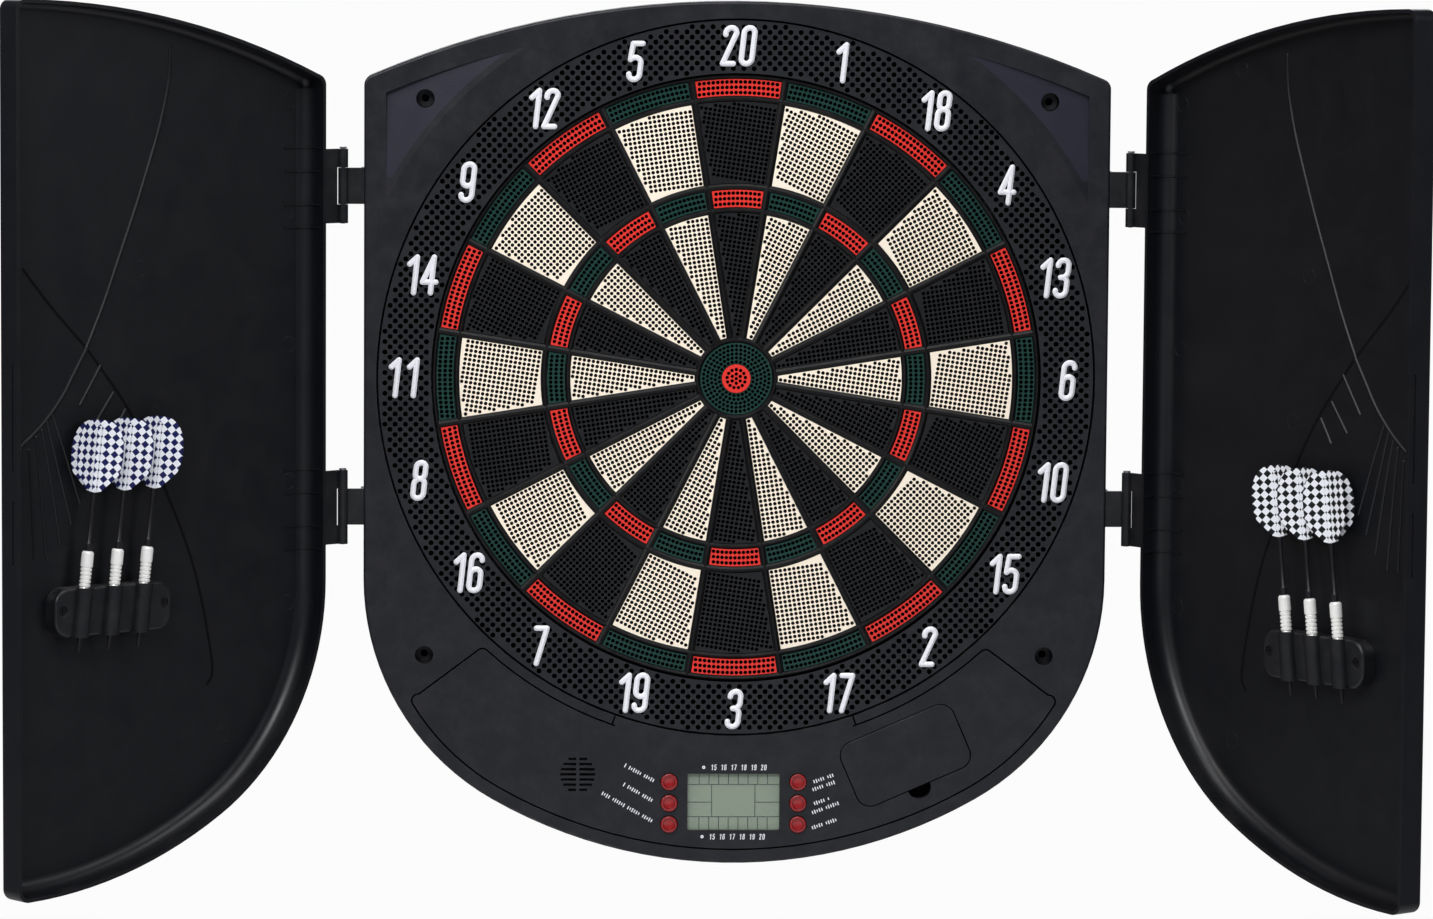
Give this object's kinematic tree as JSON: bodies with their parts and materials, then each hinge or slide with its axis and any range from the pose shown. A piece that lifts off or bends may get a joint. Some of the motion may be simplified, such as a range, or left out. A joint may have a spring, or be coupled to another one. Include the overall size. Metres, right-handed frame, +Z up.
{
  "type": "electronic dartboard cabinet",
  "caption": "Wall-hung electronic dartboard with perforated sprung target segments, a scoring console with display and buttons, and two hinged doors that hold soft-tip darts.",
  "frame": {"origin": "on the bull's axis, in the plane of the wall that the cabinet hangs on, midway between the four wall screws", "axes": "+X to the player's right, +Z up, +Y into the wall, so the target faces -Y"},
  "size_m": [0.8847, 0.2389, 0.5629],
  "materials": {
    "bare_steel": "zinc plated",
    "body_plastic": "fine moulded texture, charcoal",
    "button_red": "satin red",
    "cell_jacket": "plain jacket",
    "circuit_laminate": "solder mask",
    "cover_plastic": "fine moulded texture, charcoal",
    "dart_nickel": "nickel plated, knurled",
    "dart_nylon": "black nylon",
    "display_glass": "grey-green liquid crystal",
    "display_window": "clear",
    "door_plastic": "near-black moulded texture, satin",
    "fitting_plastic": "smooth black moulding",
    "flight_black": "white film with black checks",
    "flight_navy": "white film with navy checks",
    "membrane_film": "printed film",
    "numeral_silver": "silver painted raised numbers",
    "pad_foam": "dense foam",
    "pad_rubber": "silicone",
    "ring_plastic": "black perforated moulding",
    "segment_black": "perforated thermoplastic",
    "segment_cream": "perforated thermoplastic",
    "segment_green": "perforated thermoplastic",
    "segment_red": "perforated thermoplastic",
    "speaker_steel": "black",
    "spider_plastic": "black moulding, rubbed on the ridges"
  },
  "bodies": {
    "cabinet": {"backing_pad": "pad_foam", "batteries": "cell_jacket", "battery_contacts": "bare_steel", "body_hinge_leaves": "fitting_plastic", "button_pads": "pad_rubber", "case_screws": "bare_steel", "catch_ring": "ring_plastic", "circuit_board": "circuit_laminate", "front_bezel": "body_plastic", "hinge_pins": "bare_steel", "lcd_module": "display_glass", "lcd_window": "display_window", "numerals": "numeral_silver", "rear_housing": "body_plastic", "sensor_membrane": "membrane_film", "speaker": "speaker_steel", "spider": "spider_plastic"},
    "left_door": {"left_door": "door_plastic", "left_door_hinges": "fitting_plastic", "left_dart_holder": "fitting_plastic", "left_holder_screws": "bare_steel"},
    "left_dart_1": {"left_dart_1_barrel": "dart_nickel", "left_dart_1_shaft": "dart_nylon", "left_dart_1_flight": "flight_navy"},
    "left_button_1": {"left_button_1": "button_red"},
    "left_dart_2": {"left_dart_2_barrel": "dart_nickel", "left_dart_2_shaft": "dart_nylon", "left_dart_2_flight": "flight_navy"},
    "left_button_2": {"left_button_2": "button_red"},
    "left_dart_3": {"left_dart_3_barrel": "dart_nickel", "left_dart_3_shaft": "dart_nylon", "left_dart_3_flight": "flight_navy"},
    "left_button_3": {"left_button_3": "button_red"},
    "right_door": {"right_door": "door_plastic", "right_door_hinges": "fitting_plastic", "right_dart_holder": "fitting_plastic", "right_holder_screws": "bare_steel"},
    "right_dart_1": {"right_dart_1_barrel": "dart_nickel", "right_dart_1_shaft": "dart_nylon", "right_dart_1_flight": "flight_black"},
    "right_button_1": {"right_button_1": "button_red"},
    "right_dart_2": {"right_dart_2_barrel": "dart_nickel", "right_dart_2_shaft": "dart_nylon", "right_dart_2_flight": "flight_black"},
    "right_button_2": {"right_button_2": "button_red"},
    "right_dart_3": {"right_dart_3_barrel": "dart_nickel", "right_dart_3_shaft": "dart_nylon", "right_dart_3_flight": "flight_black"},
    "right_button_3": {"right_button_3": "button_red"},
    "inner_single_black": {"inner_single_black": "segment_black"},
    "inner_single_white": {"inner_single_white": "segment_cream"},
    "outer_single_black": {"outer_single_black": "segment_black"},
    "outer_single_white": {"outer_single_white": "segment_cream"},
    "triple_red": {"triple_red": "segment_red"},
    "triple_green": {"triple_green": "segment_green"},
    "double_red": {"double_red": "segment_red"},
    "double_green": {"double_green": "segment_green"},
    "inner_bull": {"inner_bull": "segment_red"},
    "outer_bull": {"outer_bull": "segment_green"},
    "battery_cover": {"battery_cover": "cover_plastic"}
  },
  "joints": [
    {"name": "left_door_hinge", "type": "hinge", "parent": "cabinet", "child": "left_door", "pos_m": [-0.2555, -0.034, 0.02], "axis": [0, 0, -1], "range_deg": [-140.6, 39.4]},
    {"name": "right_door_hinge", "type": "hinge", "parent": "cabinet", "child": "right_door", "pos_m": [0.2555, -0.034, 0.02], "axis": [0, 0, 1], "range_deg": [-126.3, 53.7]},
    {"name": "left_dart_1_lift", "type": "slide", "parent": "left_door", "child": "left_dart_1", "axis": [0.0942, 0.0774, 0.9925], "range_m": [0, 0.06]},
    {"name": "left_button_1_press", "type": "slide", "parent": "cabinet", "child": "left_button_1", "axis": [0, 1, 0], "range_m": [0, 0.0015], "stiffness_N_per_m": 300},
    {"name": "left_dart_2_lift", "type": "slide", "parent": "left_door", "child": "left_dart_2", "axis": [0.0942, 0.0774, 0.9925], "range_m": [0, 0.06]},
    {"name": "left_button_2_press", "type": "slide", "parent": "cabinet", "child": "left_button_2", "axis": [0, 1, 0], "range_m": [0, 0.0015], "stiffness_N_per_m": 300},
    {"name": "left_dart_3_lift", "type": "slide", "parent": "left_door", "child": "left_dart_3", "axis": [0.0942, 0.0774, 0.9925], "range_m": [0, 0.06]},
    {"name": "left_button_3_press", "type": "slide", "parent": "cabinet", "child": "left_button_3", "axis": [0, 1, 0], "range_m": [0, 0.0015], "stiffness_N_per_m": 300},
    {"name": "right_dart_1_lift", "type": "slide", "parent": "right_door", "child": "right_dart_1", "axis": [-0.0721, 0.0982, 0.9925], "range_m": [0, 0.06]},
    {"name": "right_button_1_press", "type": "slide", "parent": "cabinet", "child": "right_button_1", "axis": [0, 1, 0], "range_m": [0, 0.0015], "stiffness_N_per_m": 300},
    {"name": "right_dart_2_lift", "type": "slide", "parent": "right_door", "child": "right_dart_2", "axis": [-0.0721, 0.0982, 0.9925], "range_m": [0, 0.06]},
    {"name": "right_button_2_press", "type": "slide", "parent": "cabinet", "child": "right_button_2", "axis": [0, 1, 0], "range_m": [0, 0.0015], "stiffness_N_per_m": 300},
    {"name": "right_dart_3_lift", "type": "slide", "parent": "right_door", "child": "right_dart_3", "axis": [-0.0721, 0.0982, 0.9925], "range_m": [0, 0.06]},
    {"name": "right_button_3_press", "type": "slide", "parent": "cabinet", "child": "right_button_3", "axis": [0, 1, 0], "range_m": [0, 0.0015], "stiffness_N_per_m": 300},
    {"name": "inner_single_black_strike", "type": "slide", "parent": "cabinet", "child": "inner_single_black", "axis": [0, 1, 0], "range_m": [0, 0.0012], "stiffness_N_per_m": 900},
    {"name": "inner_single_white_strike", "type": "slide", "parent": "cabinet", "child": "inner_single_white", "axis": [0, 1, 0], "range_m": [0, 0.0012], "stiffness_N_per_m": 900},
    {"name": "outer_single_black_strike", "type": "slide", "parent": "cabinet", "child": "outer_single_black", "axis": [0, 1, 0], "range_m": [0, 0.0012], "stiffness_N_per_m": 900},
    {"name": "outer_single_white_strike", "type": "slide", "parent": "cabinet", "child": "outer_single_white", "axis": [0, 1, 0], "range_m": [0, 0.0012], "stiffness_N_per_m": 900},
    {"name": "triple_red_strike", "type": "slide", "parent": "cabinet", "child": "triple_red", "axis": [0, 1, 0], "range_m": [0, 0.0012], "stiffness_N_per_m": 900},
    {"name": "triple_green_strike", "type": "slide", "parent": "cabinet", "child": "triple_green", "axis": [0, 1, 0], "range_m": [0, 0.0012], "stiffness_N_per_m": 900},
    {"name": "double_red_strike", "type": "slide", "parent": "cabinet", "child": "double_red", "axis": [0, 1, 0], "range_m": [0, 0.0012], "stiffness_N_per_m": 900},
    {"name": "double_green_strike", "type": "slide", "parent": "cabinet", "child": "double_green", "axis": [0, 1, 0], "range_m": [0, 0.0012], "stiffness_N_per_m": 900},
    {"name": "inner_bull_strike", "type": "slide", "parent": "cabinet", "child": "inner_bull", "axis": [0, 1, 0], "range_m": [0, 0.0012], "stiffness_N_per_m": 900},
    {"name": "outer_bull_strike", "type": "slide", "parent": "cabinet", "child": "outer_bull", "axis": [0, 1, 0], "range_m": [0, 0.0012], "stiffness_N_per_m": 900},
    {"name": "battery_cover_release", "type": "slide", "parent": "cabinet", "child": "battery_cover", "axis": [0, -1, 0], "range_m": [0, 0.012]}
  ]
}
